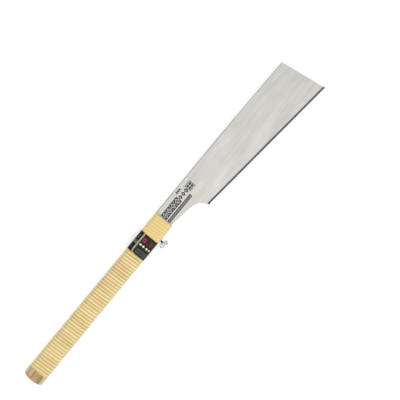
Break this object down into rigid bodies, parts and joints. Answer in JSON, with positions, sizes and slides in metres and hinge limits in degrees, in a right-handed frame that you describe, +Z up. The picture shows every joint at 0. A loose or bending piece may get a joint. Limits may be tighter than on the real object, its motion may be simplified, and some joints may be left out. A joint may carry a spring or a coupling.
{
  "type": "pull saw",
  "caption": "Pull saw for wood with a slim single-edged steel blade that slides into a straight cane-wound wooden handle and is clamped by a small wing screw.",
  "frame": {"origin": "under the middle of the saw's bounding box, on the surface that it lies on", "axes": "+X along the saw from the butt of the handle to the toe of the blade; +Y across the blade towards the spine, so the teeth face -Y; +Z up, square to the blade, with the saw lying on its side"},
  "size_m": [0.6654, 0.0844, 0.025],
  "materials": {
    "core_wood": "bare sanded softwood, a little darkened at the butt",
    "cane": "glossy split cane, pale straw",
    "label_film": "printed black film",
    "holder_steel": "plain rolled steel",
    "pin_steel": "drawn steel wire",
    "screw_steel": "blackened, oiled thread",
    "wing_chrome": "bright plated casting",
    "blade_steel": "fine ground, with a darker hardened toothed edge"
  },
  "bodies": {
    "handle": {"handle_half_right": "core_wood", "handle_half_left": "core_wood", "rattan_wrap_main": "cane", "rattan_wrap_front": "cane", "label_band": "label_film", "holder_cheek_right": "holder_steel", "holder_cheek_left": "holder_steel", "holder_spacer": "holder_steel", "holder_rivets": "pin_steel", "blade_stop_pin": "pin_steel", "handle_cross_pins": "pin_steel", "clamp_block": "holder_steel", "clamp_block_pins": "pin_steel", "screw_bush": "pin_steel"},
    "saw_blade": {"blade": "blade_steel"},
    "clamp": {"clamp_shoe": "holder_steel"},
    "thumb_screw": {"thumb_screw_shank": "screw_steel", "thumb_screw_wing": "wing_chrome"}
  },
  "joints": [
    {"name": "blade_slide", "type": "slide", "parent": "handle", "child": "saw_blade", "axis": [1, 0, 0], "range_m": [0, 0.06]},
    {"name": "screw_advance", "type": "slide", "parent": "handle", "child": "clamp", "axis": [-0.1908, -0.9816, 0], "range_m": [0, 0.0021]},
    {"name": "screw_turn", "type": "hinge", "parent": "clamp", "child": "thumb_screw", "pos_m": [-0.02655, 0.00675, 0.0125], "axis": [-0.1908, -0.9816, 0], "range_deg": [0, 1080]}
  ],
  "couplings": [
    {"joint": "screw_turn", "follows": "screw_advance", "rad_per_m": 8976}
  ]
}
